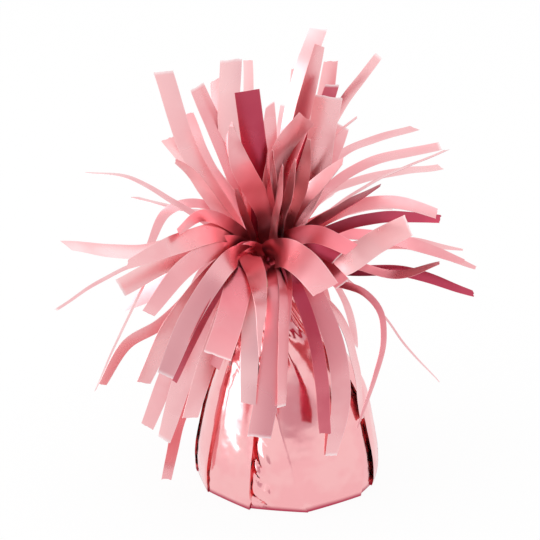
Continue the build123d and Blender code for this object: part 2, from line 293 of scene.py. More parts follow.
def pleated_columns():
    """For each column of the film: its panel, and how far over the fold and across the panel it is."""
    width = (np.roll(PLEATS[:, 0], -1) - PLEATS[:, 0]) % 360
    spare = WRAP_COLUMNS - FOLD_COLUMNS * len(PLEATS)
    count = np.maximum(np.round(width / 360 * spare), LEAST_COLUMNS).astype(int)
    panel = np.repeat(np.arange(len(PLEATS)), count + FOLD_COLUMNS)
    column = np.concatenate([np.arange(n + FOLD_COLUMNS) for n in count])
    fold = np.clip(column / FOLD_COLUMNS, 0, 1)
    across = np.clip((column - FOLD_COLUMNS) / count[panel], 0, 1)
    return panel, fold, across


def evened(share):
    """0 where the pleats keep their own places, rising to 1 at the neck, where they are even."""
    return eased((share - EVEN_START) / (1 - EVEN_START))


def pleated(share):
    """Angle, step inwards, chord's share of the radius and place on the film, by rows and columns.

    From each crest the film folds back under by the pleat's lap while it steps in, and then runs out
    along the panel to the next crest. Before a reversed crest the panel steps in instead and runs on
    under it by the lap, and the fold comes back out. Crests drift to even places towards the neck.
    A panel a degrees off its middle and h wide to each side has a chord at cos h / cos a.
    """
    panel, fold, across = pleated_columns()
    even = evened(share)
    crest = PLEATS[:, 0] + PLEATS[:, 1] * np.clip(share / DRIFT_END, 0, 1)
    crest = crest + (360 / len(PLEATS) * np.arange(len(PLEATS)) - crest) * even
    crest = np.hstack([crest, crest[:, :1] + 360])
    here, there = crest[:, panel], crest[:, panel + 1]
    lap = PLEATS[:, 3] * (1 - even) * eased(share / LAP_END)
    step = np.abs(PLEATS[:, 2]) * MM * curve(share, BELL, 2)
    forward = PLEATS[:, 2] > 0
    following = (panel + 1) % len(PLEATS)
    fold_from = here + np.where(forward, 0, lap)[:, panel]
    start = here - np.where(forward, lap, 0)[:, panel]
    end = there + np.where(forward, 0, lap)[:, following]
    angle = fold_from + (start - fold_from) * fold + (end - start) * across
    drop = np.where(forward, step, 0)[:, panel] * eased(fold) * (1 - across**RUN_OUT)
    drop = drop + np.where(forward, 0, step)[:, panel] * (1 - eased(fold))
    drop = drop + np.where(forward, 0, step)[:, following] * across ** (1 / RUN_OUT)
    half = (end - start) / 2
    off_middle = np.clip(angle - (start + end) / 2, -half, half)
    chord = np.cos(np.radians(half)) / np.cos(np.radians(off_middle))
    return angle, drop, chord, panel + FOLD_FILM * fold + (1 - FOLD_FILM) * across


def crumpled(share, angle, film):
    """How far the film stands out from its panels, for height share s and place f on the film.

    Gathers under the neck are |sin(pi c)|^0.8 deep, where c = 2.6 f + 0.4 sin(1.7 f) + 0.5 s. Crumples
    are strongest at the tuck, among the gathers and in one dent at the front. Long folds run up the
    film, deepest on the side panel that leans in.
    """
    gather = eased((share - GATHER_START) / (GATHER_FULL - GATHER_START))
    gather = gather * (1 - GATHER_PRESSED * eased((share - PRESS_START) / (1 - PRESS_START)))
    comb = GATHERS_PER_PANEL * film + 0.4 * np.sin(1.7 * film) + 0.5 * share
    stand = -gather * GATHER_DEPTH * np.abs(np.sin(np.pi * comb)) ** 0.8
    near_tuck = 1 - eased(share / TUCK_END)
    rough = ROUGH + ROUGH_AT_TUCK * near_tuck + ROUGH_IN_GATHERS * gather
    rough = rough * (1 - ROUGH_PRESSED * eased((share - SMOOTH_START) / SMOOTH_SPAN))
    crumple = CRUMPLE_DEPTH * rough * creased(film * 1.3, share * 5, seed=3)
    dent = np.exp(-(((angle - DENT_ANGLE) / DENT_SPREAD) ** 2) - ((share - DENT_HEIGHT) / DENT_TALL) ** 2)
    crumple = crumple + DENT_DEPTH * dent * creased(film * 1.6 + share * 1.5, share * 2, seed=9)
    loose = 1 - evened(share)
    lit = np.exp(-(((angle - LIT_ANGLE) / LIT_SPREAD) ** 2))
    folds = ripples(film * 2.4, share * 0.4, seed=17) * eased(share / FOLDS_START) * loose
    lean = LIT_LEAN * lit * eased((share - RIM_END) / LEAN_SPAN) * loose
    return stand + crumple * eased(share / RIM_END) + (FOLD_DEPTH + LIT_FOLD_DEPTH * lit) * folds - lean


def wrap_surface(layer):
    """One wrapped sheet on a grid of rows (pole of the floor, rim, wall, neck) by columns round it.

    Radius: the bell's, drawn in towards the panel's chord, less the pleat's step, plus the crumples.
    The film's map holds the way round and the share of the height.
    """
    wall = np.linspace(0, 1, WALL_ROWS) ** WALL_CROWDING * NECK_TOP / BODY_HEIGHT
    share = np.concatenate([np.zeros(FLOOR_ROWS), wall])[:, None]
    floor = np.linspace(POLE_SHARE, 1, FLOOR_ROWS, endpoint=False)
    floor = np.concatenate([floor, np.ones(WALL_ROWS)])[:, None]
    angle, drop, chord, film = pleated(share)
    flat = FLAT_AT_RIM + (FLAT_ABOVE - FLAT_AT_RIM) * eased(share / FLAT_END)
    bell = NECK_RADIUS + (BODY_RADIUS - NECK_RADIUS) * np.clip(curve(share, BELL, 1), 0, 1)
    radius = (bell - layer * LAYER_PITCH) * (1 + flat * (chord - 1)) - drop
    radius = radius + crumpled(share, angle, film)
    height = share * BODY_HEIGHT + layer * FLOOR_PITCH * (1 - eased(share / SEAT_END))
    tuck = TUCK_DEPTH * np.abs(ripples(film * 1.1, floor * 0.4, seed=5)) * floor * (1 - floor)
    middle = NECK_LEAN * eased((share - LEAN_START) / (1 - LEAN_START))
    turn = np.radians(angle)
    across, back = radius * floor * np.cos(turn), radius * floor * np.sin(turn)
    film_map = np.stack([film / len(PLEATS) + 0 * share, share + 0 * film], axis=-1)
    return np.stack([middle + across, back, height + tuck], axis=-1), film_map


def unit(vectors):
    """Vectors at length 1."""
    return vectors / np.maximum(np.linalg.norm(vectors, axis=-1, keepdims=True), 1e-12)


def grid_quads(rows, columns, round_trip=False):
    """Corners of the quads of a grid of points, counted row by row."""
    row, column = np.meshgrid(np.arange(rows - 1), np.arange(columns - (not round_trip)), indexing="ij")
    beside = (column + 1) % columns
    corners = [row * columns + column, row * columns + beside]
    corners += [(row + 1) * columns + beside, (row + 1) * columns + column]
    return np.stack(corners, axis=-1).reshape(-1, 4)


def make_piece(name, points, faces, finish, film_map):
    """A piece with its mesh in place and its film map, smooth but for edges as sharp as a fold."""
    mesh = bpy.data.meshes.new(name)
    mesh.from_pydata(points.reshape(-1, 3).tolist(), [], faces)
    corner = np.empty(len(mesh.loops), int)
    mesh.loops.foreach_get("vertex_index", corner)
    mesh.uv_layers.new(name="film").data.foreach_set("uv", film_map.reshape(-1, 2)[corner].ravel())
    mesh.shade_smooth()
    mesh.set_sharp_from_angle(angle=np.radians(FOLD_ANGLE))
    mesh.materials.append(finish)
    piece = bpy.data.objects.new(name, mesh)
    bpy.context.collection.objects.link(piece)
    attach(piece, "root")
    return piece


def wrap_piece(name, layer, finish):
    """Closed thin shell: the sheet's surface, the same surface one film inwards, and a rim at the neck."""
    outer, film_map = wrap_surface(layer)
    rows, columns = outer.shape[:2]
    along = np.gradient(outer, axis=0)
    round_it = np.roll(outer, -1, axis=1) - np.roll(outer, 1, axis=1)
    normal = unit(np.cross(round_it, along))
    normal[:FLOOR_ROWS] = (0, 0, -1)
    inner = outer - FILM * normal
    inner[..., 2] = np.maximum(inner[..., 2], 0)
    count = rows * columns
    quads = grid_quads(rows, columns, round_trip=True)
    rim = np.arange(columns)
    beside = (rim + 1) % columns
    top = count - columns
    edge = np.stack([top + rim, top + beside, count + top + beside, count + top + rim], axis=-1)
    faces = np.vstack([quads, count + quads[:, ::-1], edge]).tolist()
    faces += [rim[::-1].tolist(), (count + rim).tolist()]
    return make_piece(name, np.stack([outer, inner]), faces, finish, np.stack([film_map, film_map]))


CRIMSON = (0.47, 0.055, 0.10, 1)
ROSE = (0.94, 0.49, 0.50, 1)
ROSE_DEEP = (0.93, 0.44, 0.46, 1)
wrap_film, tree = start_finish("wrap_film")
patch = grain(tree, 9 * MM, detail=2.0).between(0.4, 0.6)
wrap_map = tree.node("UVMap", {"uv_map": "film"})
# Painted shade: the film turns crimson along its bottom rim, where the tuck's contact shadow falls.
rim = tree.node("SeparateXYZ", {}, {0: wrap_map}, output=1).between(0.004, 0.03)
close_finish(
    tree,
    base_color=rim.blend(CRIMSON, patch.blend(ROSE, ROSE_DEEP)),
    metallic=1.0,
    roughness=0.12 + 0.05 * patch,
    normal=dimples(tree, 7 * MM, strength=0.25, depth=0.6 * MM, detail=2.0),
)
for layer, node in enumerate(WRAPS):
    wrap_piece("film_" + node, layer, wrap_film)
    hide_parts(node)


# The band: a ring of natural rubber, rounded in section, stretched twice its size round the neck.
# Dusty and matt, with fine stretch marks round it.
RUBBER = (0.62, 0.43, 0.30, 1)
RUBBER_DUSTY = (0.74, 0.57, 0.43, 1)
band_rubber, tree = start_finish("band_rubber")
dust = grain(tree, 1.2 * MM).between(0.4, 0.65)
close_finish(
    tree,
    base_color=dust.blend(RUBBER, RUBBER_DUSTY),
    roughness=0.6 + 0.2 * dust,
    normal=dimples(tree, 0.4 * MM, strength=0.4, depth=0.08 * MM),
)
dress("neck_band", band_rubber)


# The strips: each sheet is slit above the neck into 32 strips about 7 mm wide. Gathered at the root, a
# strip bends out of the neck, opens, bows and rolls, and its cut end is skewed and a little ragged.
# It is the same rose film, dulled by handling and dyed unevenly. Painted shade deepens its back and its
# root, and strip by strip its tone also holds painted shade and painted highlight. Some ends fray white.
STRIP_WIDTH = 7 * MM
STRIP_FILM = 0.1 * MM
ROOT_SHARE = 0.8
ROOT_INSET = 0.15 * MM
ROWS_ALONG = 52
ROWS_CROWDING = 1.15
ROWS_ACROSS = 9
ACROSS_PLACES = np.sin(np.linspace(-np.pi / 2, np.pi / 2, ROWS_ACROSS))
SIDES = ("right", "back", "left", "front")

# How a strip opens, cups and flutters along its length
OPEN_START = 2 * MM
ROOT_CUP = 2.0
ROOT_CUP_LENGTH = 10 * MM
LEAST_CUP = 0.01
FLUTTER = 0.12 * MM
FLUTTER_LENGTH = 22 * MM
FLUTTER_APART = 40

# Its end: shares of the length, degrees of skew, and the share of strips that fray
TAPER_START = 0.7
TIP_SKEW = 14.0
TIP_SKEW_STEP = 2.4
SKEW_START = 0.8
FRAY_START = 0.98
FRAYED_SHARE = 0.35

# Its tone: painted shade added from tip to root and in the neck, and a painted highlight on the cut edges
ROOT_SHADE_FADE = 0.45
NECK_SHADE = 0.2
NECK_SHADE_END = 0.06
EDGE_HIGHLIGHT = -0.25

# How its line is solved, and a bowed row that holds a traced strip's place until then
SOLVE_ROUNDS = 40
FINE_POINTS = 240
STAND_IN = (0, 0, 40, 10, 0)


def strip_paths(tips, ring, bend, sweep, wave):
    """Middle lines of bowed strips, on an axis of points from root to tip.

    A line leaves its root bend at the climb from which an arc that turns down by the bow ends at the
    tip. The pitch falls evenly along the bend and the arc. Sweep and wave turn the line sideways and up
    and down on its way, and the small error that they leave at the tip is spread as the square of the
    length.
    """
    slots = len(tips)
    slot_angle = 2 * np.pi * np.arange(slots) / slots
    root = ring * np.stack([np.cos(slot_angle), np.sin(slot_angle), 0 * slot_angle], axis=-1)
    tip = tips[:, :3] * MM
    bow = np.radians(tips[:, 3])
    away = tip - root
    out = np.hypot(away[:, 0], away[:, 1])
    heading = np.arctan2(away[:, 1], away[:, 0])
    climb = np.arctan2(away[:, 2], out) + bow / 2
    for _ in range(SOLVE_ROUNDS):
        level = out - bend * (1 - np.sin(climb))
        climb = np.arctan2(away[:, 2] - bend * np.cos(climb), level) + bow / 2
    root_length = bend * (np.pi / 2 - climb)
    chord = np.hypot(out - bend * (1 - np.sin(climb)), away[:, 2] - bend * np.cos(climb))
    radius = chord / 2 / np.sin(bow / 2)
    length = root_length + radius * bow
    share = np.linspace(0, 1, ROWS_ALONG) ** ROWS_CROWDING
    along = length[:, None] * share
    past = along - root_length[:, None]
    pitch = np.where(past < 0, np.pi / 2 - along / bend, climb[:, None] - past / radius[:, None])
    pitch = pitch + np.radians(wave)[:, None] * np.sin(2 * np.pi * share) * share
    turn = (heading - slot_angle + np.pi) % (2 * np.pi) - np.pi
    facing = slot_angle[:, None] + turn[:, None] * np.clip(along / root_length[:, None], 0, 1)
    swing = np.radians(sweep)[:, None] * (2 * share - 3 * share**2)
    facing = facing + swing
    heading = heading[:, None] + swing
    outwards = np.cos(pitch)
    way = np.stack([np.cos(heading) * outwards, np.sin(heading) * outwards, np.sin(pitch)], axis=-1)
    steps = (way[:, 1:] + way[:, :-1]) / 2 * np.diff(along)[..., None]
    line = root[:, None] + np.concatenate([np.zeros((slots, 1, 3)), np.cumsum(steps, axis=1)], axis=1)
    line = line + (tip - line[:, -1])[:, None] * share[None, :, None] ** 2
    return line, facing, along, length


# The photograph's camera, and the side of its picture in pixels
VIEW_TARGET = np.array([NECK_LEAN, 0, 71 * MM])
VIEW_DISTANCE = 0.70
VIEW_ELEVATION = np.radians(22)
VIEW_LENS = 148
VIEW_SENSOR = 36
PICTURE = 540
view_way = np.array([0, np.cos(VIEW_ELEVATION), -np.sin(VIEW_ELEVATION)])
view_up = np.array([0, np.sin(VIEW_ELEVATION), np.cos(VIEW_ELEVATION)])
view_place = VIEW_TARGET - VIEW_DISTANCE * view_way
NECK = np.array([NECK_LEAN, 0, NECK_TOP])


def sighted(pixels, back):
    """Points on the lines of sight through pixels of the photograph, at depths behind the neck."""
    focus = VIEW_LENS / VIEW_SENSOR * PICTURE
    side, lift = (pixels[:, :1] - PICTURE / 2) / focus, (PICTURE / 2 - pixels[:, 1:]) / focus
    ray = view_way + side * np.array([1, 0, 0]) + lift * view_up
    return view_place + ray * (back[:, None] - view_place[1]) / ray[:, 1:2]


def traced_line(root, bend, reach, row, share):
    """Middle line from a root, round its bend, through points sighted in the photograph.

    Depth runs from the root's to the tip's as a power of the way along the sighted points, and the
    smooth line through them all is divided into the given shares of its length.
    """
    depth, _, _, *pixels = row
    part = np.arange(1, len(pixels) + 1) / len(pixels)
    back = root[1] + (depth * MM - root[1]) * part**reach
    passed = sighted(np.array(pixels, float), back) - NECK
    away = passed[0] - root
    out = np.hypot(away[0], away[1])
    climb = np.arctan2(away[2], out)
    for _ in range(SOLVE_ROUNDS):
        climb = np.arctan2(away[2] - bend * np.cos(climb), out - bend * (1 - np.sin(climb)))
    pitch = np.array([[(np.pi / 2 + climb) / 2], [climb]])
    ahead = np.array([away[0] / out, away[1] / out, 0])
    bent = root + bend * (1 - np.sin(pitch)) * ahead + bend * np.cos(pitch) * np.array([0, 0, 1])
    knots = np.vstack([root, bent, passed])
    gone = np.concatenate([[0], np.cumsum(np.linalg.norm(np.diff(knots, axis=0), axis=1))])
    table = np.column_stack([gone, knots])
    fine = np.linspace(0, gone[-1], FINE_POINTS)
    dense = np.stack([curve(fine, table, column) for column in (1, 2, 3)], axis=-1)
    run = np.concatenate([[0], np.cumsum(np.linalg.norm(np.diff(dense, axis=0), axis=1))])
    line = np.stack([np.interp(share * run[-1], run, dense[:, axis]) for axis in range(3)], axis=-1)
    return line, run[-1]


def is_traced(row):
    """A traced row ends with a pixel, and a bowed one with its roll."""
    return isinstance(row[-1], tuple)


def strip_habits(slots, traits, rng):
    """What each strip is like: drawn at random, and then changed by the traits of single strips.

    Sweep, wave, cup and skew are in degrees, rag is in millimetres, and the rest are shares.
    """
    habit = {
        "sweep": rng.uniform(-14, 14, slots),
        "wave": rng.uniform(-9, 9, slots),
        "cup": rng.choice([-1, 1], slots) * rng.uniform(4, 16, slots),
        "skew": TIP_SKEW * np.sin(np.arange(slots) * TIP_SKEW_STEP),
        "rag": rng.uniform(0.1, 0.5, slots),
        "wide": rng.uniform(0.8, 1.0, slots),
        "open": np.ones(slots),
        "point": rng.uniform(0.05, 0.45, slots),
        "taper": np.full(slots, TAPER_START),
        # tone is uneven dye at random; under adds painted shade to the back, and fade painted shade towards
        # the root
        "tone": rng.uniform(0.0, 0.22, slots),
        "under": rng.uniform(0.0, 0.2, slots),
        "fade": np.full(slots, ROOT_SHADE_FADE),
        "frayed": rng.uniform(0, 1, slots) < FRAYED_SHARE,
    }
    for slot, changes in traits.items():
        for name, value in changes.items():
            habit[name][slot] = value
    return habit


def strip_lines(rows, ring, bend, reach, habit):
    """Middle lines of all strips, the angle that each faces, its shares of the way along, and its length.

    The bowed strips are worked out together, and each traced one then gets a line of its own.
    """
    slots = len(rows)
    tips = np.array([STAND_IN if is_traced(row) else row for row in rows], float)
    line, facing, along, length = strip_paths(tips, ring, bend, habit["sweep"], habit["wave"])
    share = along / length[:, None]
    for slot, row in enumerate(rows):
        if is_traced(row):
            line[slot], length[slot] = traced_line(line[slot, 0], bend, reach, row, share[slot])
            facing[slot] = 2 * np.pi * slot / slots
    return line, facing, share, length


def strip_frames(rows, line, facing, share, opened):
    """Directions along, across and up from every point of the middle lines.

    Across is level and square to the line at the root. A bowed strip is rolled about its line by a
    share of its roll that grows with the length, and a traced one turns from the line of sight by its
    own angles as it opens.
    """
    way = unit(np.gradient(line, axis=1))
    across = np.stack([-np.sin(facing), np.cos(facing), 0 * facing], axis=-1)
    across = unit(across - way * (across * way).sum(-1, keepdims=True))
    upper = np.cross(way, across)
    full_roll = np.radians([0 if is_traced(row) else row[-1] for row in rows])
    roll = full_roll[:, None] * np.clip(opened * share, 0, 1)
    across, upper = (
        across * np.cos(roll)[..., None] + upper * np.sin(roll)[..., None],
        upper * np.cos(roll)[..., None] - across * np.sin(roll)[..., None],
    )
    for slot, row in enumerate(rows):
        if is_traced(row):
            first, last = row[1:3]
            turned = np.radians(first + (last - first) * share[slot])[:, None]
            beside = unit(np.cross(way[slot], view_way))
            shown = beside * np.cos(turned) + np.cross(beside, way[slot]) * np.sin(turned)
            shown = shown * np.sign((shown[-1] * across[slot, 0]).sum())
            part = opened[slot][:, None]
            mixed = across[slot] * (1 - part) + shown * part
            across[slot] = unit(mixed - way[slot] * (mixed * way[slot]).sum(-1, keepdims=True))
            upper[slot] = np.cross(way[slot], across[slot])
    return way, across, upper


def strip_sections(habit, along, share, opened, ring, seed):
    """How far the points across a strip stand beside its middle line and above it.

    They lie on an arc as long as the strip is wide, which turns through the cup angle, deeper by the
    root. The width opens from the room in the neck to the strip's own and narrows again to the tip.
    A slow flutter lifts the whole arc.
    """
    slots = len(share)
    root_width = ROOT_SHARE * 2 * np.pi * ring / slots
    width = root_width + (STRIP_WIDTH * habit["wide"][:, None] - root_width) * opened
    taper = habit["taper"][:, None]
    width = width * (1 - habit["point"][:, None] * np.clip((share - taper) / (1 - taper), 0, 1) ** 1.5)
    cup = np.radians(habit["cup"])[:, None] * (1 + ROOT_CUP * np.exp(-((along / ROOT_CUP_LENGTH) ** 2)))
    arc_radius = (width / np.where(np.abs(cup) < LEAST_CUP, LEAST_CUP, cup))[..., None]
    arc_angle = (cup / 2)[..., None] * ACROSS_PLACES
    apart = FLUTTER_APART * np.arange(slots)[:, None]
    flutter = FLUTTER * (ripples(along / FLUTTER_LENGTH + apart, 0 * along, seed + 1) * opened)[..., None]
    return arc_radius * np.sin(arc_angle), arc_radius * (1 - np.cos(arc_angle)) + flutter


def strip_tones(habit, share):
    """The film's map on a strip's face and back: tone, from pale 0 to deep 1, and the way along.

    Painted shade fades from root to tip as (1 - share)^1.3 and deepens the back and the neck, and a
    painted highlight makes the cut edges paler.
    """
    sides = np.stack([habit["tone"], habit["tone"] + habit["under"]], axis=1)[:, :, None, None]
    along_film = share[:, None, :, None]
    fade = habit["fade"][:, None, None, None]
    tone = sides + fade * (1 - along_film) ** 1.3 + NECK_SHADE * np.exp(-((along_film / NECK_SHADE_END) ** 2))
    tone = tone + EDGE_HIGHLIGHT * (np.abs(ACROSS_PLACES) > 0.99)
    film_along = along_film * np.where(habit["frayed"], 1, FRAY_START)[:, None, None, None]
    return np.stack(np.broadcast_arrays(tone, film_along), axis=-1)


def strip_surfaces(rows, ring, bend, reach, flare, traits, seed):
    """Strips as surfaces, on an axis of points from root to tip and one across, and their film map.

    Each point is off the middle line by its place in the cross-section. Towards the end it also moves
    along by the tangent of the skew times its place across, and the last row is ragged.
    """
    rng = np.random.default_rng(seed)
    habit = strip_habits(len(rows), traits, rng)
    line, facing, share, length = strip_lines(rows, ring, bend, reach, habit)
    along = share * length[:, None]
    opened = eased((along - OPEN_START) / (habit["open"][:, None] * flare - OPEN_START))
    way, across, upper = strip_frames(rows, line, facing, share, opened)
    sideways, lift = strip_sections(habit, along, share, opened, ring, seed)
    end = eased((share - SKEW_START) / (1 - SKEW_START))[..., None]
    forward = end * np.tan(np.radians(habit["skew"]))[:, None, None] * sideways
    forward[:, -1] -= rng.uniform(0, 1, (len(rows), ROWS_ACROSS)) * habit["rag"][:, None] * MM
    points = line[:, :, None] + across[:, :, None] * sideways[..., None]
    points = points + upper[:, :, None] * lift[..., None] + way[:, :, None] * forward[..., None]
    return points + NECK, strip_tones(habit, share)


def strip_piece(name, points, film_map, finish):
    """Closed thin strips: each surface, the same one film lower, and an edge all round."""
    strips, rows, columns = points.shape[:3]
    normal = unit(np.cross(np.gradient(points, axis=1), np.gradient(points, axis=2)))
    both = np.stack([points + STRIP_FILM / 2 * normal, points - STRIP_FILM / 2 * normal], axis=1)
    count = rows * columns
    quads = grid_quads(rows, columns)
    index = np.arange(count).reshape(rows, columns)
    ring = np.concatenate([index[0, :-1], index[:-1, -1], index[-1, :0:-1], index[:0:-1, 0]])
    beside = np.roll(ring, -1)
    edge = np.stack([ring, count + ring, count + beside, beside], axis=-1)
    one = np.vstack([quads[:, ::-1], count + quads, edge[:, ::-1]])
    faces = (one + 2 * count * np.arange(strips)[:, None, None]).reshape(-1, 4).tolist()
    return make_piece(name, both, faces, finish, film_map)


PALE = (0.96, 0.60, 0.61, 1)
CORAL = (0.82, 0.26, 0.30, 1)
DEEP_SHADE = (0.13, 0.008, 0.022, 1)
FRAYED_WHITE = (0.97, 0.80, 0.81, 1)
fringe_film, tree = start_finish("fringe_film")
handled = grain(tree, 14 * MM).between(0.4, 0.6)
film_map = tree.node("UVMap", {"uv_map": "film"})
torn_end = tree.node("SeparateXYZ", {}, {0: film_map}, output=1).between(FRAY_START, 1.0)
# Tone runs pale, coral, crimson, deep: uneven dye together with painted shade and painted highlight, and
# the deepest stop is painted shade.
tone = tree.node("SeparateXYZ", {}, {0: film_map}, output=0) + 0.06 * handled
rosy = tone.between(-0.1, 0.6).blend(PALE, CORAL)
tint = tone.between(0.95, 1.5).blend(tone.between(0.5, 1.0).blend(rosy, CRIMSON), DEEP_SHADE)
close_finish(
    tree,
    base_color=torn_end.blend(tint, FRAYED_WHITE),
    metallic=1.0,
    roughness=0.27 + 0.08 * handled + 0.2 * torn_end,
    normal=dimples(tree, 5 * MM, strength=0.06, depth=0.3 * MM, detail=2.0),
)


def fringe(tier, rows, traits, layer, bend, reach, flare, seed):
    """The strips of one sheet as four pieces, one for each side of the neck.

    Rows go round the neck from +X towards +Y. A strip that bows in one plane has its tip, in millimetres
    right of, behind and above the neck top, and its bow and roll in degrees. A traced strip has the depth
    of its tip behind the neck, its turn at root and tip (degrees, 0 shows its face and 90 its edge), and
    the pixels that its line passes. Traits give single strips, by their place, habits of their own.
    Strips leave the neck round a bend, open within the flare, and gain depth as the power reach.
    """
    ring = NECK_RADIUS - layer * LAYER_PITCH - ROOT_INSET
    points, film_map = strip_surfaces(rows, ring, bend, reach, flare, traits, seed)
    per_side = len(rows) // len(SIDES)
    pieces = []
    for number, side in enumerate(SIDES):
        slots = (np.arange(per_side) + number * per_side - per_side // 2) % len(rows)
        piece = strip_piece(f"film_{tier}_{side}", points[slots], film_map[slots], fringe_film)
        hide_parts(f"{tier}_strips_{side}")
        pieces.append(piece)
    return pieces


# The crown: the inner sheet's strips, of the film above and slit side by side. They stand up out of the
# neck and lean out, and nothing holds them but the band at their roots and the strips beside them.
CROWN = (
    (3, 75, 80, (300, 190), (330, 140), (357, 117)),
    (4, -60, -30, (300, 170), (322, 115), (332, 84)),
    (8, -35, -35, (287, 180), (303, 113), (320, 45)),
    (23, 27, 36, 8, 20),
    (20, 25, 25, (284, 180), (300, 80), (319, 26)),
    (32, 20, 20, (300, 170), (322, 110), (331, 61)),
    (17, 56, 21, 8, 15),
    (44, 0, 0, (287, 170), (297, 110), (299, 68)),
    (42, 0, 0, (285, 190), (289, 150), (293, 117)),
    (61, 0, 0, (282, 190), (284, 140), (286, 105)),
    (44, 40, 40, (268, 190), (269, 140), (270, 104)),
    (42, 50, 55, (256, 190), (250, 130), (248, 60)),
    (31, 10, 5, (240, 190), (229, 130), (231, 59)),
    (36, 30, 30, (236, 170), (222, 120), (215, 79)),
    (-29, 36, 33, 8, 0),
    (30, -35, -35, (240, 190), (221, 140), (197, 86)),
    (-33, 26, 32, 8, -15),
    (12, 40, 45, (235, 205), (207, 165), (189, 113)),
    (5, 15, 10, (224, 210), (193, 159), (163, 71)),
    (-17, 35, 50, (240, 236), (222, 214), (205, 190), (190, 171), (175, 161)),
    (-24, 20, 20, (252, 235), (243, 210), (236, 188)),
    (-17, 0, 0, (263, 205), (256, 158), (247, 91)),
    (-30, 0, 0, (268, 218), (254, 190), (240, 163), (231, 126)),
    (-26, 70, 70, (276, 225), (269, 190), (268, 148)),
    (-24, 70, 75, (278, 215), (275, 180), (273, 150)),
    (-36, 65, 70, (274, 225), (279, 195), (283, 165)),
    (-39, 60, 70, (280, 225), (290, 190), (296, 160)),
    (-32, 25, 25, (284, 225), (302, 180), (309, 139)),
    (-22, -40, -30, (274, 215), (272, 185), (283, 148), (307, 118)),
    (-18, 30, 45, (287, 225), (305, 197), (325, 178), (343, 161)),
    (-10, 0, 0, (292, 225), (316, 170), (322, 131), (329, 96)),
    (-4, 55, 60, (296, 205), (318, 152), (337, 112), (379, 55)),
)
# Tone and under in the traits add painted shade and painted highlight strip by strip: deeper where a strip
# lies in shade or mirrors dark strips below it, paler where it catches the lamps.
CROWN_TRAITS = {
    1: dict(tone=0.75),
    2: dict(tone=0.12, under=0),
    4: dict(tone=0.08, frayed=True, point=0),
    11: dict(tone=0),
    12: dict(tone=-0.1, frayed=True, point=0),
    13: dict(under=0),
    15: dict(under=0),
    17: dict(under=0),
    18: dict(tone=0, under=0, frayed=True, point=0),
    19: dict(skew=40, under=0, wide=0.75, point=0.6),
    20: dict(tone=0.3, under=0, wide=0.35, point=0.6),
    21: dict(tone=0.6, under=0.25, wide=1.08, point=0),
    22: dict(skew=-30, tone=0.18, under=0, wide=0.95, point=0.8),
    23: dict(tone=0.35, under=0.1, wide=0.6, point=0.8),
    24: dict(tone=0.1, under=0, wide=0.6, point=0.8),
    25: dict(tone=-0.1, under=0, point=0.8),
    26: dict(tone=-0.1, under=0, point=0.8),
    27: dict(tone=-0.15, under=0, point=0.8, taper=0.5),
    28: dict(tone=0.15, under=0),
    29: dict(skew=30, tone=0.15, under=0, point=0.7),
    30: dict(tone=0.08, under=0, wide=1.2, frayed=True, point=0),
    31: dict(under=0.1),
}
crown = fringe("crown", CROWN, CROWN_TRAITS, layer=2, bend=6 * MM, reach=1.0, flare=16 * MM, seed=21)


# The spread: the middle sheet's strips, of the same film and slit in the same way. They leave the neck
# below the crown, run out sideways and bow down at their ends.
SPREAD = (
    (-13, 50, 50, (322, 234), (380, 217), (441, 219)),
    (-10, 55, 30, (330, 236), (400, 241), (464, 262)),
    (18, 80, 82, (322, 217), (375, 182), (447, 150)),
    (30, 60, 60, (318, 199), (360, 167), (441, 146)),
    (42, 62, 62, (300, 208), (360, 180), (441, 167)),
    (43, 65, 65, (295, 200), (345, 152), (415, 128)),
    (40, 44, 2, 30, 15), (30, 52, 8, 30, -20), (20, 58, 2, 30, 10), (8, 62, 8, 30, 20),
    (-5, 60, 2, 30, -15), (-18, 58, 8, 30, 15), (-27, 53, 0, 30, -20),
    (44, -80, -80, (214, 214), (180, 208), (135, 197)),
    (34, -60, 0, (230, 215), (193, 203), (167, 212), (149, 247)),
    (18, -65, -84, (215, 228), (170, 200), (130, 178), (84, 173)),
    (-15, -50, -52, (200, 238), (141, 251), (66, 245)),
    (-34, -15, -10, (220, 245), (177, 258), (120, 288)),
    (-42, -15, -10, (225, 232), (180, 243), (127, 265)),
    (-33, -40, 10, (235, 228), (200, 216), (178, 232)),
    (-45, 10, 0, (225, 245), (185, 268), (148, 314)),
    (-52, 0, 0, (243, 258), (237, 290), (228, 325), (217, 357)),
    (-44, 20, 20, (247, 262), (235, 310), (214, 367)),
    (-45, 0, 60, (249, 254), (256, 275), (260, 300), (259, 357)),
    (-46, 20, 0, (276, 253), (291, 255), (308, 268), (326, 290)),
    (-36, 40, 30, (287, 252), (316, 262), (343, 285)),
    (-32, 40, 35, (290, 246), (312, 246), (338, 258)),
    (-38, 20, 25, (288, 240), (318, 235), (352, 250)),
    (-24, 65, 75, (306, 230), (340, 208), (381, 185)),
    (-28, 5, 0, (306, 264), (337, 266), (378, 241), (409, 225)),
    (-22, 60, 40, (318, 256), (360, 266), (395, 275), (440, 263)),
    (-18, 55, 50, (318, 224), (362, 205), (405, 204), (437, 214)),
)
